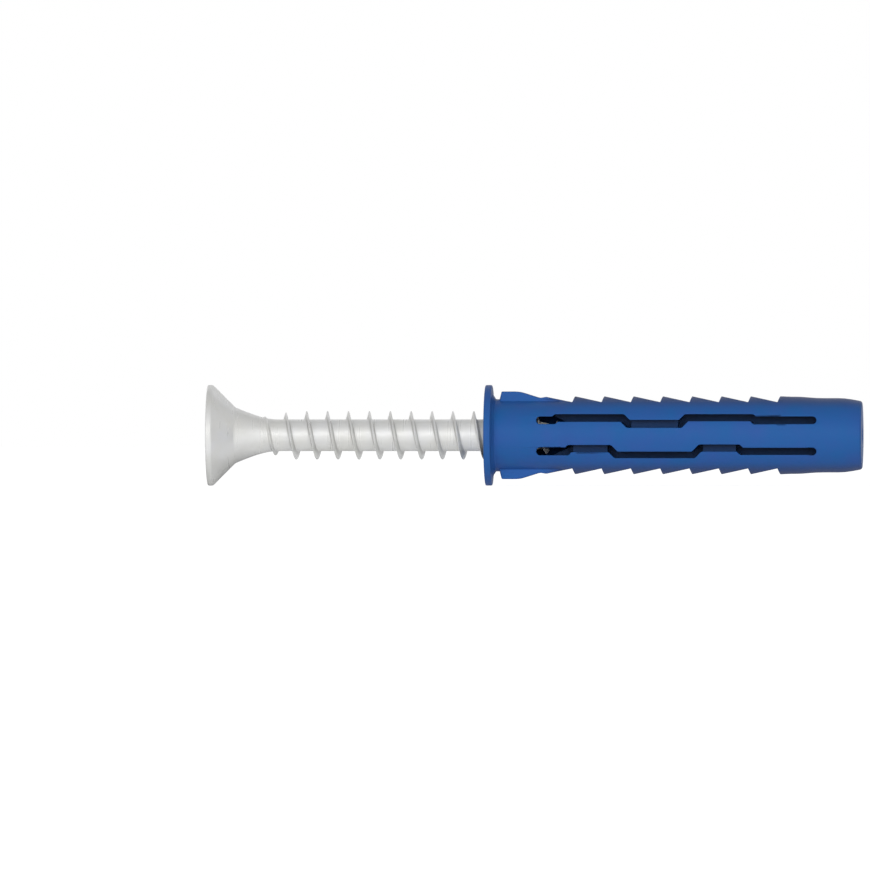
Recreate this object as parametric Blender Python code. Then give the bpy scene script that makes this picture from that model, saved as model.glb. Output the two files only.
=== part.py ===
"""Wall plug with its screw: a countersunk chipboard screw driven part way into a nylon plug.

The pair lies on its side as it comes to rest, on the rim of the screw's head and the rim of the
plug's collar. Sizes are in metres. Both pieces are drawn about one common axis along +X, where 0
is the face of the screw's head, and an empty lays that axis down at its height above the floor.
"""

from math import asin, copysign, cos, pi, radians, sin, tan

import bmesh
import bpy
from mathutils import Matrix, Vector

mm = 0.001

# Screw head
head_diameter = 10.6 * mm
head_rim_thickness = 0.55 * mm
head_rim_rounding = 0.14 * mm
countersink_angle = radians(90)
head_underside_diameter = 5.9 * mm  # where the countersink gives way to the slimmer neck cone
neck_slope = radians(23.5)
neck_length = 4.3 * mm

# Screw shank and thread
screw_length = 40.0 * mm
core_diameter = 3.34 * mm
thread_diameter = 5.1 * mm
thread_pitch = 2.2 * mm
thread_base_width = 0.34 * mm
thread_start_position = 5.8 * mm
thread_top_position = 8.22 * mm  # where the second turn's crest passes the top of the shank
thread_run_in = 3.0 * mm  # over which it rises to its full height
tip_length = 5.6 * mm
tip_plain_length = 0.45 * mm  # bare point beyond the end of the thread

# Cross recess, aligned with the vertical and the horizontal
recess_span = 6.56 * mm
recess_wing_width = 1.2 * mm
recess_wing_root_width = 1.6 * mm
recess_floor_span = 2.84 * mm
recess_floor_width = 0.76 * mm
recess_depth = 2.9 * mm
recess_core_diameter = 3.5 * mm
recess_point_depth = 0.7 * mm
recess_overshoot = 0.06 * mm  # how far its cutters stand out of the face
tick_inner_radius = 2.1 * mm
tick_outer_radius = 3.5 * mm
tick_width = 0.28 * mm
tick_depth = 0.14 * mm

# Plug: outer form, with lengths from the front face of the collar
exposed_screw = 29.25 * mm  # from the face of the screw's head to the front of the collar
plug_length = 39.65 * mm
collar_diameter = 10.6 * mm
collar_thickness = 0.72 * mm
collar_rounding = 0.14 * mm
collar_seat_diameter = 9.0 * mm  # inner edge of the flat that bears on the wall
fillet_bend_position = 0.9 * mm
fillet_bend_diameter = 8.26 * mm
neck_start = 1.12 * mm
neck_diameter = 7.6 * mm
body_diameter = 8.24 * mm
body_shoulder_start = 8.35 * mm
body_shoulder_length = 0.85 * mm
nose_diameter = 7.82 * mm
nose_band_diameter = 8.12 * mm
nose_band_start = 31.6 * mm
nose_band_fall = 0.3 * mm
nose_band_end = 33.4 * mm
nose_step_length = 1.25 * mm
nose_taper_length = 1.8 * mm
nose_end_diameter = 6.9 * mm
nose_end_rounding = 0.15 * mm

# Plug: bore
bore_clearance = 0.3 * mm
bore_mouth_chamfer = 0.1 * mm
narrow_bore_diameter = 1.8 * mm
wide_bore_radius = thread_diameter / 2 + bore_clearance

# Plug: fins that stop it turning in the hole, above and below
fin_start = 1.55 * mm
fin_front_lean = 0.2 * mm
fin_height_radius = 4.61 * mm
fin_crest_length = 1.85 * mm
fin_thickness = 2.5 * mm
fin_end_position = 5.75 * mm
fin_end_radius = 3.93 * mm

# Plug: saw teeth across the top and the bottom
first_tooth_position = 9.43 * mm
tooth_pitch = 3.084 * mm
tooth_count = 8
tooth_tip_radius = 4.1 * mm
tooth_root_radius = 3.46 * mm
tooth_face_run = 0.22 * mm
lead_tooth_position = 6.4 * mm
lead_tooth_radius = 4.04 * mm

# Plug: zig-zag slots. How far the floor of a leg is from the middle plane: between the deep floors
# of the front and the back slots, a web is left for the screw to tear.
deep_floor = 0.25 * mm
shallow_floor = 3.05 * mm

# Each leg of a slot: where it ends, the heights of its two edges above the axis, and its floor
slot_start = 5.48 * mm
rear_slot_start = 9.5 * mm  # the rear slots lack the first leg, where the bore is wide
slot_end = 34.97 * mm
upper_slot_legs = (
    (7.46 * mm, 1.98 * mm, 1.18 * mm, deep_floor),
    (14.87 * mm, 2.22 * mm, 1.42 * mm, deep_floor),
    (20.99 * mm, 1.62 * mm, 0.79 * mm, shallow_floor),
    (28.32 * mm, 2.22 * mm, 1.48 * mm, deep_floor),
    (slot_end, 1.98 * mm, 1.18 * mm, deep_floor),
)
lower_slot_legs = (
    (8.87 * mm, -1.27 * mm, -2.11 * mm, deep_floor),
    (13.57 * mm, -1.02 * mm, -1.78 * mm, shallow_floor),
    (22.38 * mm, -1.72 * mm, -2.41 * mm, deep_floor),
    (26.94 * mm, -0.97 * mm, -1.72 * mm, shallow_floor),
    (slot_end, -1.32 * mm, -2.07 * mm, deep_floor),
)

# Facets
round_sides = 48
slot_end_sides = 6
rounding_steps = 2
neck_steps = 8
cutter_margin = 1.0 * mm

side_step = 2 * pi / round_sides


def clear_scene():
    for old in list(bpy.data.objects):
        bpy.data.objects.remove(old)


def material(name, colour, roughness, metallic):
    made = bpy.data.materials.new(name)
    made.use_nodes = True
    shader = made.node_tree.nodes["Principled BSDF"]
    shader.inputs["Base Color"].default_value = (*colour, 1)
    shader.inputs["Roughness"].default_value = roughness
    shader.inputs["Metallic"].default_value = metallic
    made.diffuse_color = (*colour, 1)
    return made


def new_object(name, mesh_maker, finish=None):
    """An object whose mesh is closed, faces out, and has hard edges only where the form turns."""
    form = bmesh.new()
    mesh_maker(form)
    bmesh.ops.recalc_face_normals(form, faces=form.faces)
    mesh = bpy.data.meshes.new(name)
    form.to_mesh(mesh)
    form.free()
    mesh.shade_smooth()
    mesh.set_sharp_from_angle(angle=radians(30))
    if finish:
        mesh.materials.append(finish)
    made = bpy.data.objects.new(name, mesh)
    bpy.context.scene.collection.objects.link(made)
    return made


def side_angle(index):
    """The angle of a corner of a round section. A flat side, not a corner, is at the bottom."""
    return (index + 0.5) * side_step


def at(x, radius, angle):
    return Vector((x, radius * cos(angle), radius * sin(angle)))


def ring(form, x, radius):
    return [form.verts.new(at(x, radius, side_angle(i))) for i in range(round_sides)]


def bridge(form, first, second):
    for i in range(len(first)):
        j = (i + 1) % len(first)
        form.faces.new((first[i], first[j], second[j], second[i]))


def arc(centre, radius, start, end, steps):
    """Points on an arc in the profile plane, from the start angle to the end angle."""
    turns = [start + (end - start) * i / steps for i in range(steps + 1)]
    return [(centre[0] + radius * cos(a), centre[1] + radius * sin(a)) for a in turns]


def straight_between(points, x):
    """The radius at x on a profile of straight pieces."""
    for (x0, r0), (x1, r1) in zip(points, points[1:]):
        if x0 <= x <= x1:
            return r0 + (r1 - r0) * (x - x0) / (x1 - x0)
    return points[-1][1]


def head_profile():
    """The head from the edge of its face to the end of the countersink."""
    radius = head_diameter / 2
    inner = radius - head_rim_rounding
    front = arc((head_rim_rounding, inner), head_rim_rounding, pi, pi / 2, rounding_steps)
    underside = head_underside_diameter / 2
    cone_length = (radius - underside) / tan(countersink_angle / 2)
    return front + [(head_rim_thickness, radius), (head_rim_thickness + cone_length, underside)]


def neck_profile():
    """A blend from the underside of the head to the core: a parabola tangent to both."""
    start = Vector(head_profile()[-1])
    end = Vector((start.x + neck_length, core_diameter / 2))
    corner = Vector((start.x + (start.y - end.y) / tan(neck_slope), end.y))
    points = []
    for i in range(neck_steps + 1):
        t = i / neck_steps
        point = start * (1 - t) ** 2 + corner * 2 * t * (1 - t) + end * t**2
        points.append((point.x, point.y))
    return points


def shank_profile():
    """The screw without its thread, from the underside of the head to the point."""
    tip_start = screw_length - tip_length
    return neck_profile() + [(tip_start, core_diameter / 2), (screw_length, 0.0)]


def build_screw(form):
    """The head is turned, and the threaded shank is wound on as three strips along the helix."""
    shank = shank_profile()
    half_base = thread_base_width / 2
    thread_height = (thread_diameter - core_diameter) / 2
    tip_start = screw_length - tip_length
    thread_end = screw_length - tip_plain_length

    # The crest passes the top of the shank half a side past a corner of the section.
    rise_to_top = thread_top_position - thread_start_position
    steps_to_top = round(rise_to_top / thread_pitch * round_sides)
    first_index = (round_sides // 4 - 1 - steps_to_top) % round_sides
    turns_to_top = (steps_to_top + 0.5) / round_sides
    thread_start = thread_top_position - turns_to_top * thread_pitch
    step_count = int((thread_end - half_base - thread_start) / thread_pitch * round_sides)
    last_position = thread_start + step_count * thread_pitch / round_sides

    def ridge_height(x):
        rise = (x - thread_start) / thread_run_in
        fall = (last_position - x) / (last_position - tip_start)
        return thread_height * max(0.0, min(1.0, rise, fall))

    front, crest, back = [], [], []
    for i in range(step_count + 1):
        x = thread_start + thread_pitch * i / round_sides
        angle = side_angle(first_index + i)
        for line, place, height in (
            (front, x - half_base, 0.0),
            (crest, x, ridge_height(x)),
            (back, x + half_base, 0.0),
        ):
            radius = straight_between(shank, place) + height
            line.append(form.verts.new(at(place, radius, angle)))

    last_ring_position = thread_start - thread_base_width
    outline = head_profile() + [p for p in shank[1:] if p[0] < last_ring_position]
    outline.append((last_ring_position, straight_between(shank, last_ring_position)))
    rings = [ring(form, x, radius) for x, radius in outline]
    form.faces.new(rings[0])
    for first, second in zip(rings, rings[1:]):
        bridge(form, first, second)

    turn = round_sides
    neck_ring = [rings[-1][(first_index + i) % turn] for i in range(turn)]
    for i in range(turn - 1):
        form.faces.new((neck_ring[i], neck_ring[i + 1], front[i + 1], front[i]))
    form.faces.new(
        (neck_ring[-1], neck_ring[0], front[0], crest[0], back[0], front[turn], front[turn - 1])
    )
    for i in range(step_count):
        form.faces.new((front[i], front[i + 1], crest[i + 1], crest[i]))
        form.faces.new((crest[i], crest[i + 1], back[i + 1], back[i]))
    for i in range(step_count - turn):
        form.faces.new((back[i], back[i + 1], front[i + turn + 1], front[i + turn]))

    point = form.verts.new((screw_length, 0.0, 0.0))
    last = step_count
    form.faces.new((back[last - turn], back[last - turn + 1], point, back[last], crest[last], front[last]))
    for i in range(last - turn + 1, last):
        form.faces.new((back[i], back[i + 1], point))


def hull_of(form, points):
    corners = [form.verts.new(p) for p in points]
    bmesh.ops.convex_hull(form, input=corners)


def recess_blade(form, upright):
    """One of the two tapered blades of the cross. It lies along Z if upright, or else along Y."""
    sections = (
        (-recess_overshoot, recess_span / 2, recess_wing_width / 2),
        (-recess_overshoot, 0.0, recess_wing_root_width / 2),
        (recess_depth, recess_floor_span / 2, recess_floor_width / 2),
    )
    points = []
    for x, reach, half_width in sections:
        for side in (-half_width, half_width):
            for end in sorted({-reach, reach}):
                points.append((x, side, end) if upright else (x, end, side))
    hull_of(form, points)


def recess_core(form):
    """The middle of the cross: eight walls at the face that narrow to a square with a point."""
    points = [(recess_depth + recess_point_depth, 0.0, 0.0)]
    for i in range(8):
        angle = (i + 0.5) * pi / 4
        points.append(at(-recess_overshoot, recess_core_diameter / 2, angle))
    for i in range(4):
        points.append(at(recess_depth, recess_floor_span / 2, i * pi / 2))
    hull_of(form, points)


def recess_tick(form, angle):
    """A short V-shaped mark between two wings of the cross."""
    along = Vector((0.0, cos(angle), sin(angle)))
    sideways = Vector((0.0, -sin(angle), cos(angle)))
    up = Vector((-tick_depth, 0.0, 0.0))
    points = []
    for radius in (tick_inner_radius, tick_outer_radius):
        for side in (-1, 1):
            points.append(along * radius + sideways * side * tick_width + up)
        points.append(along * radius - up)
    hull_of(form, points)


def turned_loop(form, profile):
    """A hollow turned piece: the profile is a closed loop that doesn't meet the axis."""
    rings = [ring(form, x, radius) for x, radius in profile]
    for first, second in zip(rings, rings[1:] + rings[:1]):
        bridge(form, first, second)


def bore_profile():
    """The bore from the nose to the mouth. It tapers with the point of the screw inside it."""
    wide = wide_bore_radius
    narrow = narrow_bore_diameter / 2
    taper_start = screw_length - tip_length - exposed_screw + bore_clearance
    taper = tip_length * (wide - narrow) / (thread_diameter / 2)
    return [
        (plug_length, narrow),
        (taper_start + taper, narrow),
        (taper_start, wide),
        (bore_mouth_chamfer, wide),
        (0.0, wide + bore_mouth_chamfer),
    ]


def plug_outline():
    """The outside of the plug from the collar's face to the nose."""
    collar = collar_diameter / 2
    near = (collar_rounding, collar - collar_rounding)
    far = (collar_thickness - collar_rounding, collar - collar_rounding)
    points = arc(near, collar_rounding, pi, pi / 2, rounding_steps)
    points += arc(far, collar_rounding, pi / 2, 0.0, rounding_steps)
    nose = plug_length - nose_end_rounding
    return points + [
        (collar_thickness, collar_seat_diameter / 2),
        (fillet_bend_position, fillet_bend_diameter / 2),
        (neck_start, neck_diameter / 2),
        (body_shoulder_start, neck_diameter / 2),
        (body_shoulder_start + body_shoulder_length, body_diameter / 2),
        (nose_band_start - nose_band_fall, body_diameter / 2),
        (nose_band_start, nose_band_diameter / 2),
        (nose_band_end, nose_band_diameter / 2),
        (nose_band_end + nose_step_length, nose_diameter / 2),
        (plug_length - nose_taper_length, nose_diameter / 2),
        (nose, nose_end_diameter / 2 + nose_end_rounding),
        (plug_length, nose_end_diameter / 2),
    ]


def build_plug_body(form):
    profile = plug_outline() + bore_profile()
    turned_loop(form, [(exposed_screw + x, radius) for x, radius in profile])


def prism(form, outline, near, far, turned=False):
    """A flat outline of (x, z) points, drawn out along Y. It is turned half round the axis if asked."""
    sign = -1 if turned else 1
    ends = []
    for y in (near, far):
        corners = [(exposed_screw + x, sign * y, sign * z) for x, z in outline]
        ends.append([form.verts.new(p) for p in corners])
    form.faces.new(ends[0])
    form.faces.new(reversed(ends[1]))
    bridge(form, ends[0], ends[1])


def fin_outline():
    inside = (wide_bore_radius + neck_diameter / 2) / 2
    last = first_tooth_position - tooth_face_run
    return [
        (fin_start, inside),
        (fin_start, neck_diameter / 2),
        (fin_start + fin_front_lean, fin_height_radius),
        (fin_start + fin_front_lean + fin_crest_length, fin_height_radius),
        (fin_end_position, fin_end_radius),
        (lead_tooth_position, lead_tooth_radius),
        (last, lead_tooth_radius),
        (last, inside),
    ]


def build_fins(form):
    for turned in (False, True):
        prism(form, fin_outline(), -fin_thickness / 2, fin_thickness / 2, turned)


def saw_outline():
    """The room above the teeth, which is cut out of the round body."""
    above = body_diameter / 2 + cutter_margin
    points = [(lead_tooth_position, above), (lead_tooth_position, lead_tooth_radius)]
    for i in range(tooth_count):
        tip = first_tooth_position + i * tooth_pitch
        points.append((tip - tooth_face_run, tooth_root_radius))
        points.append((tip, tooth_tip_radius))
    points.append((points[-1][0], above))
    return points


def build_saw_cutter(form):
    for turned in (False, True):
        prism(form, saw_outline(), -body_diameter, body_diameter, turned)


def step_edge(leg, following, upper):
    """The ends of a 45 degree step along one edge of a slot, from a leg to the following one."""
    index = 1 if upper else 2
    height, next_height = leg[index], following[index]
    half_width = (leg[1] - leg[2]) / 2
    shift = copysign(half_width * tan(pi / 8), next_height - height)
    middle = leg[0] - shift if upper else leg[0] + shift
    reach = abs(next_height - height) / 2
    return [(middle - reach, height), (middle + reach, next_height)]


def slot_cells(legs, start):
    """A slot as cells along it, each a level leg or a step, given by its corners and its floor."""
    cells = []
    for leg, following in zip(legs, (*legs[1:], None)):
        end, top, bottom, floor = leg
        middle, half_width = (top + bottom) / 2, (top - bottom) / 2
        near_end = [(start, bottom), (start, top)]
        if not cells:
            centre = (start + half_width, middle)
            near_end = arc(centre, half_width, -pi / 2, -3 * pi / 2, slot_end_sides)
        if following:
            above = step_edge(leg, following, True)
            below = step_edge(leg, following, False)
            end = min(above[0][0], below[0][0])
            far_end = [(end, top), (end, bottom)]
            start = max(above[1][0], below[1][0])
            after = [(start, following[1]), (start, following[2])]
            step = far_end[::-1] + above + after + below[::-1]
            cells += [(near_end + far_end, floor), (step, min(floor, following[3]))]
        else:
            centre = (end - half_width, middle)
            far_end = arc(centre, half_width, pi / 2, -pi / 2, slot_end_sides)
            cells.append((near_end + far_end, floor))
    return cells


def push_in(form, faces, y):
    """Draw faces out along Y to a given place, and return the ones there in order along X."""
    made = bmesh.ops.extrude_face_region(form, geom=faces)["geom"]
    for corner in made:
        if isinstance(corner, bmesh.types.BMVert):
            corner.co.y = y
    ends = [face for face in made if isinstance(face, bmesh.types.BMFace)]
    return sorted(ends, key=lambda face: face.calc_center_median().x)


def build_slot_cutter(form, legs, turned):
    """It goes in to the shallow floor everywhere, and from there on to the deep one."""
    cells = slot_cells(legs[1:], rear_slot_start) if turned else slot_cells(legs, slot_start)
    outside = -body_diameter / 2 - cutter_margin
    corners = {}
    faces = []
    for points, _ in cells:
        places = dict.fromkeys((round(x, 9), round(z, 9)) for x, z in points)
        for x, z in places:
            if (x, z) not in corners:
                corners[x, z] = form.verts.new((exposed_screw + x, outside, z))
        faces.append(form.faces.new([corners[place] for place in places]))
    floors = push_in(form, faces, -shallow_floor)
    deep = [face for face, (_, floor) in zip(floors, cells) if floor < shallow_floor]
    push_in(form, deep, -deep_floor)
    bmesh.ops.delete(form, geom=deep, context="FACES")
    if turned:
        bmesh.ops.rotate(form, verts=form.verts, matrix=Matrix.Rotation(pi, 3, "X"))


def make_cutter(name, mesh_maker):
    cutter = new_object(name, mesh_maker)
    cutter.hide_render = True
    cutter.display_type = "WIRE"
    return cutter


def add_boolean(target, tool, operation):
    cut = target.modifiers.new(tool.name, "BOOLEAN")
    cut.operation = operation
    cut.solver = "EXACT"
    cut.object = tool


def make_screw(steel):
    screw = new_object("countersunk_screw", build_screw, steel)
    tools = [
        make_cutter("recess_level_blade", lambda form: recess_blade(form, False)),
        make_cutter("recess_upright_blade", lambda form: recess_blade(form, True)),
        make_cutter("recess_core", recess_core),
    ]
    for i in range(4):
        angle = (i + 0.5) * pi / 2
        tools.append(make_cutter(f"recess_tick_{i}", lambda form, a=angle: recess_tick(form, a)))
    for tool in tools:
        add_boolean(screw, tool, "DIFFERENCE")
    return [screw, *tools]


def make_plug(nylon):
    plug = new_object("wall_plug", build_plug_body, nylon)
    fins = make_cutter("plug_fins", build_fins)
    saw = make_cutter("tooth_cutter", build_saw_cutter)
    add_boolean(plug, fins, "UNION")
    add_boolean(plug, saw, "DIFFERENCE")
    slots = [
        make_cutter("upper_slot", lambda form: build_slot_cutter(form, upper_slot_legs, False)),
        make_cutter("lower_slot", lambda form: build_slot_cutter(form, lower_slot_legs, False)),
        make_cutter("upper_rear_slot", lambda form: build_slot_cutter(form, lower_slot_legs, True)),
        make_cutter("lower_rear_slot", lambda form: build_slot_cutter(form, upper_slot_legs, True)),
    ]
    for slot in slots:
        add_boolean(plug, slot, "DIFFERENCE")
    return [plug, fins, saw, *slots]


def lay_down(pieces):
    """Rest the two rims on the floor, with the middle of the length above the origin."""
    flat_side = cos(pi / round_sides)
    head_height = head_diameter / 2 * flat_side
    collar_height = collar_diameter / 2 * flat_side
    apart = exposed_screw + collar_thickness / 2 - head_rim_thickness / 2
    tilt = asin((collar_height - head_height) / apart)
    axis = bpy.data.objects.new("common_axis", None)
    bpy.context.scene.collection.objects.link(axis)
    axis.location = (-(exposed_screw + plug_length) / 2, 0.0, head_height * cos(tilt))
    axis.rotation_euler = (0.0, -tilt, 0.0)
    for piece in pieces:
        piece.parent = axis


clear_scene()
zinc_plated_steel = material("zinc_plated_steel", (0.62, 0.62, 0.61), 0.34, 1.0)
blue_nylon = material("blue_nylon", (0.034, 0.12, 0.34), 0.42, 0.0)
lay_down(make_screw(zinc_plated_steel) + make_plug(blue_nylon))
bpy.context.view_layer.update()
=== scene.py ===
"""The looks of a wall plug with its screw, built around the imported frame.

Both pieces are modelled about one common axis along X, where 0 is the face of the screw's head, and
are then moved to where the frame holds them. Sizes are in metres.
"""

from math import ceil, copysign, cos, pi, radians, sin, tan

import bmesh
import bpy
from mathutils import Matrix, Vector


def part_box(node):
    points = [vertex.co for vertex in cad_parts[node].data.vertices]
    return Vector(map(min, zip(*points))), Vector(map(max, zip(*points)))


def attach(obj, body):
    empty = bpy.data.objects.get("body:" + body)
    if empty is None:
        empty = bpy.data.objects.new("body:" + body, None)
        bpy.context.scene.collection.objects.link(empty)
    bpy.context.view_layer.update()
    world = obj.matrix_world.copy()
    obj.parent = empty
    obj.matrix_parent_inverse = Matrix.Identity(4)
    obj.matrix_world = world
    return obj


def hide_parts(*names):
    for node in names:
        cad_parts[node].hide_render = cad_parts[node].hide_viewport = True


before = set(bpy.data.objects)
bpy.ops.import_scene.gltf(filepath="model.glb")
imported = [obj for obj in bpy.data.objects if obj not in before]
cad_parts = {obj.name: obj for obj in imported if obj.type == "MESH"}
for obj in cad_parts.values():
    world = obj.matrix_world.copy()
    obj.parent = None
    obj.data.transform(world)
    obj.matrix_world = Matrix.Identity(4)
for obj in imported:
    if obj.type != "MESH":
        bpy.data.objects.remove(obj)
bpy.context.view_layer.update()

mm = 0.001
screw_low, screw_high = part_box("countersunk_screw")
plug_low, plug_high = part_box("wall_plug")
axis_height = (screw_low.z + screw_high.z) / 2
axis_start = Vector((screw_low.x, 0.0, axis_height))

# Screw head and neck
head_radius = (screw_high.z - screw_low.z) / 2
head_rim_thickness = 0.55 * mm
head_rim_rounding = 0.16 * mm
countersink_angle = radians(90)
underside_radius = 2.95 * mm
underside_rounding = 0.3 * mm
neck_slope = radians(23.5)
neck_length = 4.3 * mm
neck_steps = 24

# Screw shank and thread
screw_length = screw_high.x - screw_low.x
core_radius = 1.67 * mm
thread_height = 0.88 * mm
thread_pitch = 2.2 * mm
thread_base_width = 0.4 * mm
thread_crest_width = 0.05 * mm
thread_crest_rounding = 0.02 * mm
thread_root_rounding = 0.16 * mm
thread_top_position = 8.22 * mm  # where a crest passes the top of the shank
thread_start_position = 5.5 * mm
thread_run_in = 3.3 * mm
thread_joint_position = 5.2 * mm  # where the wound shank meets the turned neck
tip_length = 5.6 * mm
tip_cut = 0.04 * mm

# Cross recess in the head
recess_span = 6.56 * mm
recess_wing_width = 1.2 * mm
recess_wing_root_width = 1.6 * mm
recess_floor_span = 2.84 * mm
recess_floor_width = 0.76 * mm
recess_depth = 2.9 * mm
recess_core_diameter = 3.5 * mm
recess_point_depth = 0.7 * mm
recess_overshoot = 0.06 * mm
recess_rim_rounding = 0.05 * mm
tick_inner_radius = 2.1 * mm
tick_outer_radius = 3.5 * mm
tick_width = 0.28 * mm
tick_depth = 0.14 * mm

# Plug: outer form, with lengths from the front face of the collar
exposed_screw = plug_low.x - screw_low.x
plug_length = plug_high.x - plug_low.x
collar_radius = (plug_high.z - plug_low.z) / 2
collar_thickness = 0.72 * mm
collar_rounding = 0.16 * mm
collar_flat_radius = 4.5 * mm  # where the flat back of the collar ends
collar_root_position = 0.9 * mm
collar_root_radius = 4.13 * mm
neck_start_position = 1.12 * mm
neck_end_position = 8.1 * mm
neck_radius = 3.8 * mm
body_start_position = 9.4 * mm
body_end_position = 30.9 * mm
body_radius = 4.12 * mm
waist_start_position = 32.0 * mm
waist_end_position = 33.2 * mm
waist_radius = 4.06 * mm
nose_start_position = 34.8 * mm
nose_radius = 3.91 * mm
nose_taper_length = 1.8 * mm
nose_end_radius = 3.61 * mm
nose_face_radius = 3.45 * mm
nose_end_rounding = 0.16 * mm
bore_clearance = 0.3 * mm
bore_radius = core_radius + thread_height + bore_clearance
bore_mouth_chamfer = 0.1 * mm
narrow_bore_radius = 0.9 * mm

# Plug: fins and saw teeth above and below
fin_start = 1.55 * mm
fin_front_lean = 0.2 * mm
fin_height_radius = 4.61 * mm
fin_crest_length = 1.85 * mm
fin_thickness = 2.5 * mm
fin_end_position = 5.75 * mm
fin_end_radius = 3.93 * mm
fin_edge_rounding = 0.12 * mm
fin_crest_rounding = 0.5 * mm
fin_end_rounding = 0.25 * mm
first_tooth_position = 9.43 * mm
tooth_pitch = 3.084 * mm
tooth_count = 8
tooth_tip_radius = 4.1 * mm
tooth_root_radius = 3.46 * mm
tooth_face_run = 0.22 * mm
tooth_tip_rounding = 0.05 * mm
tooth_root_rounding = 0.08 * mm
lead_tooth_position = 6.4 * mm
lead_tooth_radius = 4.04 * mm

# Plug: zig-zag slots, with how far the floor of a leg is from the middle plane
deep_floor = 0.25 * mm
shallow_floor = 2.5 * mm
slot_corner_rounding = 0.14 * mm

# Each leg of a slot: where it ends, the heights of its two edges above the axis, and its floor
slot_start = 5.48 * mm
rear_slot_start = 9.5 * mm  # the rear slots lack the first leg
slot_end = 34.97 * mm
upper_slot_legs = (
    (7.46 * mm, 1.98 * mm, 1.18 * mm, deep_floor),
    (14.87 * mm, 2.22 * mm, 1.42 * mm, deep_floor),
    (20.99 * mm, 1.62 * mm, 0.79 * mm, shallow_floor),
    (28.32 * mm, 2.22 * mm, 1.48 * mm, deep_floor),
    (slot_end, 1.98 * mm, 1.18 * mm, deep_floor),
)
lower_slot_legs = (
    (8.87 * mm, -1.27 * mm, -2.11 * mm, deep_floor),
    (13.57 * mm, -1.02 * mm, -1.78 * mm, shallow_floor),
    (22.38 * mm, -1.72 * mm, -2.41 * mm, deep_floor),
    (26.94 * mm, -0.97 * mm, -1.72 * mm, shallow_floor),
    (slot_end, -1.32 * mm, -2.07 * mm, deep_floor),
)
moulded_edge_rounding = 0.055 * mm

# Finishes: colours, painted shade, patterns by how many a metre, and the depth of their relief
steel_colour = (0.86, 0.865, 0.868)
steel_warm_colour = (0.83, 0.83, 0.802)
# painted shade for the roots of the thread, where the ridge meets the core
steel_painted_root_shade_colour = (0.62, 0.62, 0.605)
steel_metallic = 0.5
steel_metallic_at_collar = 0.1
steel_roughness = (0.27, 0.37)
steel_patch_scale = 420.0
steel_grain_scale = 11000.0
steel_relief = 0.0004 * mm
turning_line_scale = 5200.0
turning_line_stretch = 0.03
root_shade_start = 0.1 * mm  # above the core, as are the next two
root_shade_fade = 0.2 * mm
root_shade_end = 0.6 * mm
collar_reach = 1.5 * thread_pitch  # how far in front of the collar the painted root shade fades out and the metal grows less metallic
nylon_colour = (0.015, 0.112, 0.35)
nylon_violet_colour = (0.028, 0.1, 0.352)
# painted shade inside the slots
nylon_painted_slot_shade = (0.006, 0.028, 0.092)
# painted shade towards the top and bottom of the plug, where the light falls off
nylon_painted_edge_shade = (0.032, 0.072, 0.215)
nylon_roughness = (0.4, 0.52)
nylon_refraction = 1.33
nylon_patch_scale = 330.0
nylon_grain_scale = 7000.0
nylon_relief = 0.006 * mm
parting_line_width = 0.12 * mm
parting_line_height = 3.0  # times the depth of the grain
slot_shade_radius = 3.1 * mm
slot_shade_end_radius = 3.35 * mm
slot_shade_fade_length = 1.0 * mm
edge_shade_start = 2.7 * mm  # above and below the axis, as is the next
edge_shade_full = 3.9 * mm
edge_shade_position = 8.0 * mm  # behind the collar

# Floor, tent, lamp and camera
floor_half_size = 12.0
floor_colour = 0.8
floor_glow = 0.19
floor_white_glow = 0.62  # what the camera sees more of near the part
floor_far_glow = 0.96
floor_near = 0.1
floor_far = 0.6
floor_shine = 0.64
floor_shine_start = 2.5 * mm  # where the floor in front starts to look brighter in the metal
floor_shine_end = -13.0 * mm
floor_back_shine = 0.6  # for the metal too, from just behind the part
floor_back_start = 5.0 * mm
floor_back_end = 25.0 * mm
floor_shank_shine = 0.35  # for the metal too, under the shank and not under the head
tent_light = 0.14
tent_side_shine = 0.68
tent_top_shine = 0.5
tent_front_shine = 0.98
tent_back_shine = 0.85
tent_front_limit = -0.5  # along Y of a direction of length 1, as are the next two
tent_back_start = 0.2
tent_back_full = 0.7
softbox_power = 15.0
softbox_width = 1.6
softbox_height = 0.6
softbox_place = (0.0, -1.19, 0.21)
camera_distance = 4.0
camera_turn = radians(3)
camera_target = Vector((-10.525 * mm, 0.0, 5.32 * mm))
view_width = 91.5 * mm

# Fineness of the meshes
thread_steps = 96
plug_steps = 112
corner_steps = 4
finest_turn = radians(11)
slot_end_steps = 10
cutter_margin = 1.0 * mm
weld_distance = 0.001 * mm
rounded_turn = radians(35)
crisp_turn = radians(13)


def curve(start, corner, end, steps):
    """Points from start to end that bend towards the corner."""
    shares = [i / steps for i in range(steps + 1)]
    return [start * (1 - t) ** 2 + corner * 2 * t * (1 - t) + end * t**2 for t in shares]


def rounded_corner(before, corner, after, reach, steps):
    back = before - corner
    on = after - corner
    reach = min(reach, back.length / 2, on.length / 2)
    start = corner + back.normalized() * reach
    end = corner + on.normalized() * reach
    return curve(start, corner, end, steps)


def softened(outline, closed=False, steps=corner_steps):
    """An outline of (x, radius, rounding) corners as points, with each corner rounded off.

    With no number of steps, a corner gets as many as its turn needs.
    """
    corners = [Vector(corner[:2]) for corner in outline]
    count = len(corners)
    points = []
    for i, corner in enumerate(corners):
        at_end = not closed and i in (0, count - 1)
        if at_end or outline[i][2] == 0:
            points.append(corner)
        else:
            before, after = corners[i - 1], corners[(i + 1) % count]
            turn = (corner - before).angle(after - corner)
            pieces = steps or max(2, ceil(turn / finest_turn))
            points += rounded_corner(before, corner, after, outline[i][2], pieces)
    return points


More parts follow.
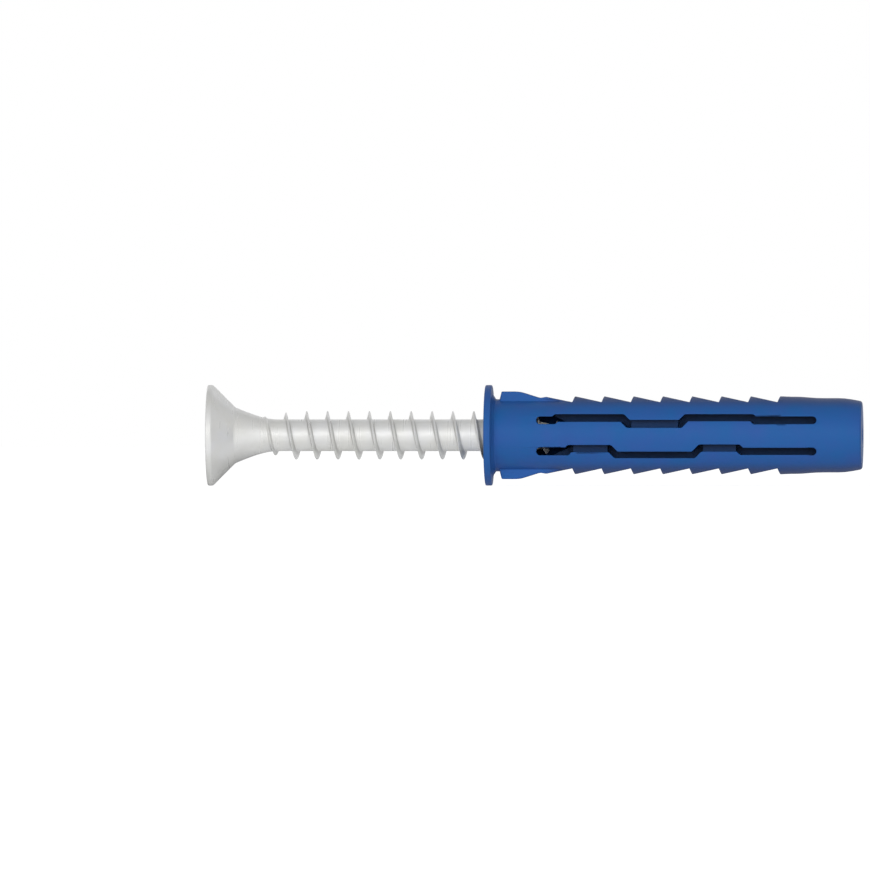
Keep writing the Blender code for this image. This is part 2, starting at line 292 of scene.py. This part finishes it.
def radius_at(points, x):
    """The radius at x on an outline, which runs along the axis."""
    for before, after in zip(points, points[1:]):
        if x <= after.x:
            share = (x - before.x) / (after.x - before.x)
            return before.y + (after.y - before.y) * max(share, 0.0)
    return points[-1].y


def head_outline():
    """From the end of the countersink to the edge of the face."""
    cone_length = (head_radius - underside_radius) / tan(countersink_angle / 2)
    underside = head_rim_thickness + cone_length
    into_cone = neck_outline()[1]
    corners = [
        (into_cone.x, into_cone.y, 0),
        (underside, underside_radius, underside_rounding),
        (head_rim_thickness, head_radius, head_rim_rounding),
        (0.0, head_radius, head_rim_rounding),
        (0.0, head_radius / 2, 0),
    ]
    return softened(corners)[1:-1]


def neck_outline():
    start = Vector((head_rim_thickness + head_radius - underside_radius, underside_radius))
    end = Vector((start.x + neck_length, core_radius))
    corner = Vector((start.x + (start.y - end.y) / tan(neck_slope), end.y))
    return curve(start, corner, end, neck_steps)


def thread_outline(crest):
    """One pitch of the shank along the axis, as a ridge between two half roots."""
    base = thread_base_width / 2
    top = thread_crest_width / 2
    ridge = core_radius + thread_height
    return softened([
        (crest - thread_pitch / 2, core_radius, 0),
        (crest - base, core_radius, thread_root_rounding),
        (crest - top, ridge, thread_crest_rounding),
        (crest + top, ridge, thread_crest_rounding),
        (crest + base, core_radius, thread_root_rounding),
        (crest + thread_pitch / 2, core_radius, 0),
    ])


def line_of(form, points, closed=False):
    """A chain of edges through (x, radius) points, above the axis on its +Y side."""
    corners = [form.verts.new((x, radius, 0.0)) for x, radius in points]
    pairs = list(zip(corners, corners[1:] + corners[:1]))
    edges = [form.edges.new(pair) for pair in (pairs if closed else pairs[:-1])]
    return corners + edges


def wind_shank(form):
    """The threaded shank: one turn of it is spun along the helix and then repeated."""
    crest = thread_top_position - thread_pitch / 4
    while crest + thread_pitch / 2 > thread_joint_position:
        crest -= thread_pitch
    turns = int((screw_length + thread_pitch / 2 - crest) / thread_pitch) + 1
    bmesh.ops.spin(
        form,
        geom=line_of(form, thread_outline(crest)),
        axis=(1, 0, 0),
        dvec=(thread_pitch / thread_steps, 0, 0),
        angle=2 * pi,
        steps=thread_steps,
    )
    one_turn = form.verts[:] + form.edges[:] + form.faces[:]
    for turn in range(1, turns):
        copied = bmesh.ops.duplicate(form, geom=one_turn)["geom"]
        moved = [part for part in copied if isinstance(part, bmesh.types.BMVert)]
        bmesh.ops.translate(form, verts=moved, vec=(turn * thread_pitch, 0.0, 0.0))
    bmesh.ops.remove_doubles(form, verts=form.verts, dist=weld_distance)


def fit_shank(form):
    """Follow the neck and the point, and let the ridge rise out of one and sink into the other."""
    tip_start = screw_length - tip_length
    shank = neck_outline() + [Vector((tip_start, core_radius)), Vector((screw_length, 0.0))]
    for corner in form.verts:
        x = corner.co.x
        across = Vector((0.0, corner.co.y, corner.co.z))
        rise = (x - thread_start_position) / thread_run_in
        fall = (screw_length - x) / tip_length
        ridge = (across.length - core_radius) * max(0.0, min(1.0, rise, fall))
        radius = radius_at(shank, x) + ridge
        corner.co = Vector((x, 0.0, 0.0)) + across.normalized() * radius


def cut_across(form, x, clear_start):
    """Cut square to the axis, drop one side and return the open rim."""
    cut = bmesh.ops.bisect_plane(
        form,
        geom=form.verts[:] + form.edges[:] + form.faces[:],
        dist=weld_distance / 10,
        plane_co=(x, 0, 0),
        plane_no=(1, 0, 0),
        clear_inner=clear_start,
        clear_outer=not clear_start,
    )
    return [edge for edge in cut["geom_cut"] if isinstance(edge, bmesh.types.BMEdge)]


def carry_on(form, rim, points):
    """Extrude an open rim along an outline, ring by ring, and return the last rim."""
    for x, radius in points:
        made = bmesh.ops.extrude_edge_only(form, edges=rim)["geom"]
        for corner in made:
            if isinstance(corner, bmesh.types.BMVert):
                across = Vector((0.0, corner.co.y, corner.co.z)).normalized()
                corner.co = Vector((x, 0.0, 0.0)) + across * radius
        rim = [e for e in made if isinstance(e, bmesh.types.BMEdge) and e.is_boundary]
    return rim


def model_screw(form):
    wind_shank(form)
    fit_shank(form)
    point = cut_across(form, screw_length - tip_cut, False)
    bmesh.ops.edgeloop_fill(form, edges=point)
    joint = cut_across(form, thread_joint_position, True)
    neck = [p for p in neck_outline() if p.x < thread_joint_position]
    face = carry_on(form, joint, neck[:0:-1] + head_outline())
    bmesh.ops.edgeloop_fill(form, edges=face)


def hull(form, points):
    bmesh.ops.convex_hull(form, input=[form.verts.new(p) for p in points])


def model_recess_blade(form, turn):
    """One of the two tapered blades of the cross, turned about the axis."""
    sections = (
        (-recess_overshoot, recess_span / 2, recess_wing_width / 2),
        (-recess_overshoot, 0.0, recess_wing_root_width / 2),
        (recess_depth, recess_floor_span / 2, recess_floor_width / 2),
    )
    points = []
    for x, reach, half_width in sections:
        for side in (-half_width, half_width):
            points += [(x, side, end) for end in sorted({-reach, reach})]
    hull(form, points)
    bmesh.ops.rotate(form, verts=form.verts, matrix=Matrix.Rotation(turn, 3, "X"))


def model_recess_core(form):
    """The middle of the cross: eight walls at the face that narrow to a square with a point."""
    points = [(recess_depth + recess_point_depth, 0.0, 0.0)]
    radius = recess_core_diameter / 2
    for i in range(8):
        angle = (i + 0.5) * pi / 4
        points.append((-recess_overshoot, radius * cos(angle), radius * sin(angle)))
    for i in range(4):
        reach = recess_floor_span / 2
        points.append((recess_depth, reach * cos(i * pi / 2), reach * sin(i * pi / 2)))
    hull(form, points)


def model_tick(form, turn):
    """A short V-shaped mark between two wings of the cross."""
    points = []
    for radius in (tick_inner_radius, tick_outer_radius):
        points += [(-tick_depth, side, radius) for side in (-tick_width, tick_width)]
        points.append((tick_depth, 0.0, radius))
    hull(form, points)
    bmesh.ops.rotate(form, verts=form.verts, matrix=Matrix.Rotation(turn, 3, "X"))


def plug_outline():
    """The plug's section on one side of the axis: round its outside, then back through its bore.

    Each corner is a place along the plug, a radius and how far it is rounded off.
    """
    taper_start = screw_length - tip_length - exposed_screw + bore_clearance
    taper = tip_length * (bore_radius - narrow_bore_radius) / (core_radius + thread_height)
    return [
        (0.0, collar_radius, collar_rounding),
        (collar_thickness, collar_radius, collar_rounding),
        (collar_thickness, collar_flat_radius, 0.05 * mm),
        (collar_root_position, collar_root_radius, 0.1 * mm),
        (neck_start_position, neck_radius, 0.08 * mm),
        (neck_end_position, neck_radius, 0.6 * mm),
        (body_start_position, body_radius, 0.6 * mm),
        (body_end_position, body_radius, 0.5 * mm),
        (waist_start_position, waist_radius, 0.5 * mm),
        (waist_end_position, waist_radius, 0.6 * mm),
        (nose_start_position, nose_radius, 0.8 * mm),
        (plug_length - nose_taper_length, nose_radius, 0.7 * mm),
        (plug_length - nose_end_rounding, nose_end_radius, nose_end_rounding),
        (plug_length, nose_face_radius, nose_end_rounding / 2),
        (plug_length, narrow_bore_radius, 0.15 * mm),
        (taper_start + taper, narrow_bore_radius, 0.3 * mm),
        (taper_start, bore_radius, 0.3 * mm),
        (bore_mouth_chamfer, bore_radius, 0.03 * mm),
        (0.0, bore_radius + bore_mouth_chamfer, 0.03 * mm),
    ]


def model_plug_body(form):
    outline = softened(plug_outline(), True, None)
    points = [(exposed_screw + x, radius) for x, radius in outline]
    bmesh.ops.spin(
        form,
        geom=line_of(form, points, True),
        axis=(1, 0, 0),
        angle=2 * pi,
        steps=plug_steps,
        use_merge=True,
    )


def model_prism(form, points, near, far, turn):
    """A flat outline of (x, z) points, extruded along Y and turned about the axis."""
    corners = [form.verts.new((exposed_screw + x, near, z)) for x, z in points]
    made = bmesh.ops.extrude_face_region(form, geom=[form.faces.new(corners)])["geom"]
    moved = [corner for corner in made if isinstance(corner, bmesh.types.BMVert)]
    bmesh.ops.translate(form, verts=moved, vec=(0.0, far - near, 0.0))
    bmesh.ops.rotate(form, verts=corners + moved, matrix=Matrix.Rotation(turn, 3, "X"))


def model_fin(form, turn):
    inside = (bore_radius + neck_radius) / 2
    last = first_tooth_position - tooth_face_run
    crest_start = fin_start + fin_front_lean
    points = softened([
        (fin_start, inside, 0),
        (fin_start, neck_radius, 0),
        (crest_start, fin_height_radius, fin_edge_rounding),
        (crest_start + fin_crest_length, fin_height_radius, fin_crest_rounding),
        (fin_end_position, fin_end_radius, fin_end_rounding),
        (lead_tooth_position, lead_tooth_radius, tooth_root_rounding),
        (last, lead_tooth_radius, 0),
        (last, inside, 0),
    ])
    model_prism(form, points, -fin_thickness / 2, fin_thickness / 2, 0.0)
    proud = [edge for edge in form.edges if min(corner.co.z for corner in edge.verts) > neck_radius]
    bmesh.ops.bevel(
        form,
        geom=[edge for edge in proud if edge.calc_face_angle() > rounded_turn],
        offset=fin_edge_rounding,
        segments=3,
        profile=0.5,
        affect="EDGES",
        material=-1,
    )
    bmesh.ops.rotate(form, verts=form.verts, matrix=Matrix.Rotation(turn, 3, "X"))


def saw_outline():
    """The room above the teeth, which is cut out of the round body."""
    above = body_radius + cutter_margin
    corners = [
        (lead_tooth_position, above, 0),
        (lead_tooth_position, lead_tooth_radius, 0),
    ]
    for i in range(tooth_count):
        tip = first_tooth_position + i * tooth_pitch
        corners.append((tip - tooth_face_run, tooth_root_radius, tooth_root_rounding))
        corners.append((tip, tooth_tip_radius, tooth_tip_rounding))
    corners.append((corners[-1][0] + tooth_tip_rounding, above, 0))
    return softened(corners)


def step_edge(leg, following, upper):
    """The ends of a 45 degree step along one edge of a slot, from a leg to the following one."""
    index = 1 if upper else 2
    height, next_height = leg[index], following[index]
    half_width = (leg[1] - leg[2]) / 2
    shift = copysign(half_width * tan(pi / 8), next_height - height)
    middle = leg[0] - shift if upper else leg[0] + shift
    reach = abs(next_height - height) / 2
    return [(middle - reach, height), (middle + reach, next_height)]


def half_round(x, middle, radius, start_angle):
    """The end of a slot, turning clockwise from the start angle."""
    turns = [start_angle - pi * i / slot_end_steps for i in range(slot_end_steps + 1)]
    return [(x + radius * cos(a), middle + radius * sin(a)) for a in turns]


def slot_cells(legs, start):
    """A slot as cells along it, each a level leg or a step, given by its corners and its floor."""
    cells = []
    for leg, following in zip(legs, (*legs[1:], None)):
        end, top, bottom, floor = leg
        middle, radius = (top + bottom) / 2, (top - bottom) / 2
        near_end = [(start, bottom), (start, top)]
        if not cells:
            near_end = half_round(start + radius, middle, radius, -pi / 2)
        if following:
            above = step_edge(leg, following, True)
            below = step_edge(leg, following, False)
            end = min(above[0][0], below[0][0]) - slot_corner_rounding
            start = max(above[1][0], below[1][0]) + slot_corner_rounding
            bends = [(*corner, slot_corner_rounding) for corner in above + below[::-1]]
            step = softened(
                [(end, bottom, 0), (end, top, 0)]
                + bends[:2]
                + [(start, following[1], 0), (start, following[2], 0)]
                + bends[2:],
                True,
            )
            cells += [(near_end + [(end, top), (end, bottom)], floor), (step, min(floor, following[3]))]
        else:
            cells.append((near_end + half_round(end - radius, middle, radius, pi / 2), floor))
    return cells


def push_in(form, faces, y):
    """Extrude faces along Y to a given place, and return the ones there in order along X."""
    made = bmesh.ops.extrude_face_region(form, geom=faces)["geom"]
    for corner in made:
        if isinstance(corner, bmesh.types.BMVert):
            corner.co.y = y
    ends = [face for face in made if isinstance(face, bmesh.types.BMFace)]
    return sorted(ends, key=lambda face: face.calc_center_median().x)


def model_slot(form, legs, start, turn):
    """The room in a slot: in to the shallow floor everywhere, and from there on to the deep one."""
    cells = slot_cells(legs, start)
    outside = -body_radius - cutter_margin
    corners = {}
    faces = []
    for points, _ in cells:
        places = dict.fromkeys(tuple(Vector(point)) for point in points)
        for x, z in places:
            if (x, z) not in corners:
                corners[x, z] = form.verts.new((exposed_screw + x, outside, z))
        faces.append(form.faces.new([corners[spot] for spot in places]))
    floors = push_in(form, faces, -shallow_floor)
    deep = [face for face, (_, floor) in zip(floors, cells) if floor < shallow_floor]
    push_in(form, deep, -deep_floor)
    bmesh.ops.delete(form, geom=deep, context="FACES")
    bmesh.ops.rotate(form, verts=form.verts, matrix=Matrix.Rotation(turn, 3, "X"))


def new_piece(name, model, *details):
    """An object at the origin whose mesh is closed and faces out."""
    form = bmesh.new()
    model(form, *details)
    bmesh.ops.recalc_face_normals(form, faces=form.faces)
    mesh = bpy.data.meshes.new(name)
    form.to_mesh(mesh)
    form.free()
    made = bpy.data.objects.new(name, mesh)
    bpy.context.scene.collection.objects.link(made)
    return made


def work_with(piece, tools, operation):
    """Cut the tools out of the piece, or join them to it, and clear them away."""
    for tool in tools:
        step = piece.modifiers.new(tool.name, "BOOLEAN")
        step.operation = operation
        step.solver = "MANIFOLD"
        step.object = tool
    evaluated = piece.evaluated_get(bpy.context.evaluated_depsgraph_get())
    mesh = bpy.data.meshes.new_from_object(evaluated)
    piece.modifiers.clear()
    piece.data = mesh
    for tool in tools:
        bpy.data.objects.remove(tool)


def round_edges(piece, wanted, offset):
    """Weld what the cuts left too narrow, round the wanted edges and keep the other turns crisp."""
    form = bmesh.new()
    form.from_mesh(piece.data)
    bmesh.ops.remove_doubles(form, verts=form.verts, dist=weld_distance)
    bmesh.ops.dissolve_degenerate(form, edges=form.edges, dist=weld_distance)
    rounded = []
    for edge in form.edges:
        turn = edge.calc_face_angle() if len(edge.link_faces) == 2 else 0.0
        if turn > rounded_turn and wanted(edge):
            rounded.append(edge)
        else:
            edge.smooth = turn < crisp_turn
    bmesh.ops.bevel(
        form,
        geom=rounded,
        offset=offset,
        segments=2,
        profile=0.5,
        affect="EDGES",
        material=-1,
    )
    for face in form.faces:
        face.smooth = True
    form.to_mesh(piece.data)
    form.free()


def in_place(piece, finish):
    """Move the finished mesh to the frame's axis, shade it and let it ride."""
    piece.data.transform(Matrix.Translation(axis_start))
    piece.data.materials.clear()
    piece.data.materials.append(finish)
    even = piece.modifiers.new("even_shading", "WEIGHTED_NORMAL")
    even.keep_sharp = True
    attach(piece, "root")
    return piece


def make_screw(steel):
    screw = new_piece("zinc_plated_screw", model_screw)
    recess = new_piece("recess_core", model_recess_core)
    tools = [new_piece("recess_blade", model_recess_blade, turn) for turn in (0.0, pi / 2)]
    tools += [new_piece("recess_tick", model_tick, (i + 0.5) * pi / 2) for i in range(4)]
    work_with(recess, tools, "UNION")
    work_with(screw, [recess], "DIFFERENCE")

    def on_the_face(edge):
        return all(abs(corner.co.x) < weld_distance for corner in edge.verts)

    round_edges(screw, on_the_face, recess_rim_rounding)
    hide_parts("countersunk_screw")
    return in_place(screw, steel)


def make_plug(nylon):
    plug = new_piece("moulded_plug", model_plug_body)
    work_with(plug, [new_piece("fin", model_fin, turn) for turn in (0.0, pi)], "UNION")
    wide = body_radius * 2
    saw = saw_outline()
    cutters = [new_piece("saw", model_prism, saw, -wide, wide, turn) for turn in (0.0, pi)]
    for legs in (upper_slot_legs, lower_slot_legs):
        cutters.append(new_piece("front_slot", model_slot, legs, slot_start, 0.0))
        cutters.append(new_piece("rear_slot", model_slot, legs[1:], rear_slot_start, pi))
    work_with(plug, cutters, "DIFFERENCE")

    def outside_the_bore(edge):
        middle = (edge.verts[0].co + edge.verts[1].co) / 2
        return middle.yz.length > bore_radius + cutter_margin / 4

    round_edges(plug, outside_the_bore, moulded_edge_rounding)
    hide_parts("wall_plug")
    return in_place(plug, nylon)


def place(tree, kind, values=None, **settings):
    """A shader node with its settings, and its inputs set to values or linked to outputs."""
    made = tree.nodes.new(kind)
    for name, value in settings.items():
        setattr(made, name, value)
    for name, value in (values or {}).items():
        if isinstance(value, bpy.types.NodeSocket):
            tree.links.new(value, made.inputs[name])
        else:
            made.inputs[name].default_value = value
    return made


def between(tree, share, first, second):
    """A colour that runs from the first to the second as the share goes from 0 to 1."""
    ends = [end if isinstance(end, bpy.types.NodeSocket) else (*end, 1) for end in (first, second)]
    made = place(tree, "ShaderNodeMix", {0: share, 6: ends[0], 7: ends[1]}, data_type="RGBA")
    return made.outputs[2]


def spread(tree, value, low, high):
    """A noise value, most of which lies between 0.3 and 0.7, spread from low to high."""
    values = {"Value": value, "From Min": 0.3, "From Max": 0.7, "To Min": low, "To Max": high}
    return place(tree, "ShaderNodeMapRange", values).outputs["Result"]


def ramp(tree, value, start, end, low, high):
    """A value that runs smoothly from low to high between two places."""
    values = {"Value": value, "From Min": start, "From Max": end, "To Min": low, "To Max": high}
    return place(tree, "ShaderNodeMapRange", values, interpolation_type="SMOOTHSTEP").outputs["Result"]


def product(tree, first, second):
    return place(tree, "ShaderNodeMath", {0: first, 1: second}, operation="MULTIPLY").outputs[0]


def make_grain():
    """A group that both finishes use: soft patches and a fine grain, as values round 0.5."""
    group = bpy.data.node_groups.new("surface_grain", "ShaderNodeTree")
    group.interface.new_socket("Vector", in_out="INPUT", socket_type="NodeSocketVector")
    for name in ("Patch Scale", "Grain Scale"):
        group.interface.new_socket(name, in_out="INPUT", socket_type="NodeSocketFloat")
    for name in ("Patches", "Grain"):
        group.interface.new_socket(name, in_out="OUTPUT", socket_type="NodeSocketFloat")
    given = place(group, "NodeGroupInput").outputs
    patch_values = {"Vector": given["Vector"], "Scale": given["Patch Scale"], "Detail": 3.0}
    patches = place(group, "ShaderNodeTexNoise", patch_values)
    grain_values = {"Vector": given["Vector"], "Scale": given["Grain Scale"], "Detail": 2.0}
    grain = place(group, "ShaderNodeTexNoise", grain_values)
    place(group, "NodeGroupOutput", {"Patches": patches.outputs["Fac"], "Grain": grain.outputs["Fac"]})
    return group


def new_material(name):
    """A material, its node tree, its shader and the place on the piece."""
    made = bpy.data.materials.new(name)
    made.use_nodes = True
    tree = made.node_tree
    shader = tree.nodes["Principled BSDF"]
    spot = place(tree, "ShaderNodeTexCoord").outputs["Object"]
    centred = place(tree, "ShaderNodeMapping", {"Vector": spot, "Location": -axis_start}).outputs["Vector"]
    return made, tree, shader, centred


def along_and_radius(tree, spot):
    """How far along the axis and how far from it a spot is."""
    along = place(tree, "ShaderNodeSeparateXYZ", {"Vector": spot}).outputs["X"]
    across = place(tree, "ShaderNodeVectorMath", {0: spot, 1: (0, 1, 1)}, operation="MULTIPLY").outputs[0]
    radius = place(tree, "ShaderNodeVectorMath", {0: across}, operation="LENGTH").outputs["Value"]
    return along, radius


def add_bump(tree, shader, height, depth):
    bump = place(tree, "ShaderNodeBump", {"Height": height, "Distance": depth, "Strength": 1.0})
    tree.links.new(bump.outputs["Normal"], shader.inputs["Normal"])


def make_steel(grain):
    """Bright zinc plating: cloudy, faintly warm in places, with fine turning lines and a grain, and painted
    shade at the roots of the thread.
    """
    made, tree, shader, spot = new_material("zinc_plated_steel")
    values = {"Vector": spot, "Patch Scale": steel_patch_scale, "Grain Scale": steel_grain_scale}
    seen = place(tree, "ShaderNodeGroup", values, node_tree=grain).outputs
    stretch = (1.0, turning_line_stretch, turning_line_stretch)
    stretched = place(tree, "ShaderNodeMapping", {"Vector": spot, "Scale": stretch}).outputs["Vector"]
    line_values = {"Vector": stretched, "Scale": turning_line_scale, "Detail": 1.0}
    lines = place(tree, "ShaderNodeTexNoise", line_values).outputs["Fac"]
    cloud = spread(tree, seen["Patches"], 0.0, 1.0)
    colour = between(tree, cloud, steel_colour, steel_warm_colour)
    along, radius = along_and_radius(tree, spot)
    rise = (core_radius, core_radius + root_shade_start)
    fall = (core_radius + root_shade_fade, core_radius + root_shade_end)
    run_in = (thread_start_position, thread_start_position + thread_run_in)
    near_collar = (exposed_screw - collar_reach, exposed_screw)
    # painted shade: the roots of the thread are darkened, from the run-in to just before the collar
    painted_root_shade = product(tree, ramp(tree, radius, *rise, 0.0, 1.0), ramp(tree, radius, *fall, 1.0, 0.0))
    threaded = product(tree, ramp(tree, along, *run_in, 0.0, 1.0), ramp(tree, along, *near_collar, 1.0, 0.0))
    colour = between(tree, product(tree, painted_root_shade, threaded), colour, steel_painted_root_shade_colour)
    tree.links.new(colour, shader.inputs["Base Color"])
    metallic = ramp(tree, along, *near_collar, steel_metallic, steel_metallic_at_collar)
    tree.links.new(metallic, shader.inputs["Metallic"])
    tree.links.new(spread(tree, lines, *steel_roughness), shader.inputs["Roughness"])
    height = place(tree, "ShaderNodeMath", {0: lines, 1: seen["Grain"]}, operation="ADD")
    add_bump(tree, shader, height.outputs[0], steel_relief)
    return made


def make_nylon(grain):
    """Moulded nylon: deep blue with faint clouds, a satin grain and the mould's parting line, with painted
    shade inside the slots and towards the top and bottom.
    """
    made, tree, shader, spot = new_material("blue_nylon")
    values = {"Vector": spot, "Patch Scale": nylon_patch_scale, "Grain Scale": nylon_grain_scale}
    seen = place(tree, "ShaderNodeGroup", values, node_tree=grain).outputs
    cloud = spread(tree, seen["Patches"], 0.0, 1.0)
    colour = between(tree, cloud, nylon_colour, nylon_violet_colour)
    along, radius = along_and_radius(tree, spot)
    # painted shade: darker nylon inside the slots, as far as their end
    inside = ramp(tree, radius, slot_shade_radius, slot_shade_end_radius, 1.0, 0.0)
    past_end = exposed_screw + slot_end + slot_corner_rounding
    slotted = ramp(tree, along, past_end, past_end + slot_shade_fade_length, 1.0, 0.0)
    colour = between(tree, product(tree, inside, slotted), colour, nylon_painted_slot_shade)
    places = place(tree, "ShaderNodeSeparateXYZ", {"Vector": spot}).outputs
    aside, above = (
        place(tree, "ShaderNodeMath", {0: places[axis]}, operation="ABSOLUTE").outputs[0] for axis in "YZ"
    )
    # painted shade: darker towards the top and bottom of the plug, behind the fins
    outer = ramp(tree, above, edge_shade_start, edge_shade_full, 0.0, 1.0)
    past_fins = (exposed_screw + fin_end_position, exposed_screw + edge_shade_position)
    toothed = ramp(tree, along, *past_fins, 0.0, 1.0)
    colour = between(tree, product(tree, outer, toothed), colour, nylon_painted_edge_shade)
    tree.links.new(colour, shader.inputs["Base Color"])
    tree.links.new(spread(tree, seen["Grain"], *nylon_roughness), shader.inputs["Roughness"])
    shader.inputs["IOR"].default_value = nylon_refraction
    line = ramp(tree, aside, 0.0, parting_line_width / 2, parting_line_height, 0.0)
    height = place(tree, "ShaderNodeMath", {0: line, 1: seen["Grain"]}, operation="ADD")
    add_bump(tree, shader, height.outputs[0], nylon_relief)
    return made


def set_camera():
    """Level with the part and a little round to the right, where the nose's end just shows."""
    made = bpy.data.cameras.new("camera")
    made.lens = made.sensor_width * camera_distance / view_width
    made.clip_start = 0.1
    made.clip_end = 100
    camera = bpy.data.objects.new("camera", made)
    back = Vector((sin(camera_turn), -cos(camera_turn), 0.0))
    camera.location = camera_target + back * camera_distance
    camera.rotation_euler = (-back).to_track_quat("-Z", "Y").to_euler()
    bpy.context.scene.collection.objects.link(camera)
    bpy.context.scene.camera = camera


def set_stage():
    """A pale floor that glows like a light table, and is white to the camera outside the shadow."""
    mesh = bpy.data.meshes.new("floor")
    form = bmesh.new()
    bmesh.ops.create_grid(form, x_segments=1, y_segments=1, size=floor_half_size)
    form.to_mesh(mesh)
    form.free()
    floor = bpy.data.objects.new("floor", mesh)
    bpy.context.scene.collection.objects.link(floor)
    made = bpy.data.materials.new("pale_floor")
    made.use_nodes = True
    tree = made.node_tree
    tree.nodes.clear()
    matt = place(tree, "ShaderNodeBsdfDiffuse", {"Color": (floor_colour, floor_colour, floor_colour, 1)})
    path = place(tree, "ShaderNodeLightPath").outputs
    spot = place(tree, "ShaderNodeTexCoord").outputs["Object"]
    parts = place(tree, "ShaderNodeSeparateXYZ", {"Vector": spot}).outputs
    in_front = ramp(tree, parts["Y"], floor_shine_start, floor_shine_end, 0.0, floor_shine)
    behind = ramp(tree, parts["Y"], floor_back_start, floor_back_end, 0.0, floor_back_shine)
    shank = axis_start.x + neck_length, axis_start.x + thread_start_position + thread_pitch
    under = ramp(tree, parts["X"], *shank, 0.0, floor_shank_shine)
    shine = place(tree, "ShaderNodeMath", {0: in_front, 1: behind}, operation="MAXIMUM").outputs[0]
    shine = place(tree, "ShaderNodeMath", {0: shine, 1: under}, operation="MAXIMUM").outputs[0]
    mirrored = {0: path["Is Glossy Ray"], 2: floor_glow, 3: shine}
    lit = place(tree, "ShaderNodeMix", mirrored).outputs[0]
    distance = place(tree, "ShaderNodeVectorMath", {0: spot}, operation="LENGTH").outputs["Value"]
    white_values = {"Value": distance, "From Min": floor_near, "From Max": floor_far}
    white_values |= {"To Min": floor_glow + floor_white_glow, "To Max": floor_far_glow}
    white = place(tree, "ShaderNodeMapRange", white_values).outputs["Result"]
    strength = {0: path["Is Camera Ray"], 2: lit, 3: white}
    glow = place(tree, "ShaderNodeEmission", {"Strength": place(tree, "ShaderNodeMix", strength).outputs[0]})
    both = place(tree, "ShaderNodeAddShader", {0: matt.outputs[0], 1: glow.outputs[0]})
    place(tree, "ShaderNodeOutputMaterial", {"Surface": both.outputs[0]})
    mesh.materials.append(made)


def set_world():
    """A studio tent: dim as light, and as the metal mirrors it bright in front and behind."""
    world = bpy.data.worlds.new("studio_tent")
    bpy.context.scene.world = world
    world.use_nodes = True
    tree = world.node_tree
    path = place(tree, "ShaderNodeLightPath").outputs
    direction = place(tree, "ShaderNodeTexCoord").outputs["Generated"]
    parts = place(tree, "ShaderNodeSeparateXYZ", {"Vector": direction}).outputs
    top_values = {"Value": parts["Z"], "To Min": tent_side_shine, "To Max": tent_top_shine}
    around = place(tree, "ShaderNodeMapRange", top_values).outputs["Result"]
    front_values = {"Value": parts["Y"], "From Min": -1.0, "From Max": tent_front_limit}
    front_values |= {"To Min": tent_front_shine, "To Max": around}
    front = place(tree, "ShaderNodeMapRange", front_values).outputs["Result"]
    back_values = {"Value": parts["Y"], "From Min": tent_back_start, "From Max": tent_back_full}
    back_values |= {"To Min": 0.0, "To Max": tent_back_shine}
    back = place(tree, "ShaderNodeMapRange", back_values).outputs["Result"]
    shine = place(tree, "ShaderNodeMath", {0: front, 1: back}, operation="MAXIMUM").outputs[0]
    lit = place(tree, "ShaderNodeMix", {0: path["Is Glossy Ray"], 2: tent_light, 3: shine}).outputs[0]
    strength = place(tree, "ShaderNodeMix", {0: path["Is Camera Ray"], 2: lit, 3: 1.0}).outputs[0]
    background = tree.nodes["Background"]
    background.inputs["Color"].default_value = (1, 1, 1, 1)
    tree.links.new(strength, background.inputs["Strength"])


def add_softbox():
    """A wide lamp in front and above. It isn't mirrored in the part, because the tent is."""
    light = bpy.data.lights.new("front_softbox", "AREA")
    light.shape = "RECTANGLE"
    light.size = softbox_width
    light.size_y = softbox_height
    light.energy = softbox_power
    made = bpy.data.objects.new("front_softbox", light)
    made.location = softbox_place
    made.rotation_euler = (-made.location).to_track_quat("-Z", "Y").to_euler()
    made.visible_glossy = False
    bpy.context.scene.collection.objects.link(made)


grain = make_grain()
make_screw(make_steel(grain))
make_plug(make_nylon(grain))
set_camera()
set_stage()
set_world()
add_softbox()

bpy.context.scene.view_settings.view_transform = "Standard"
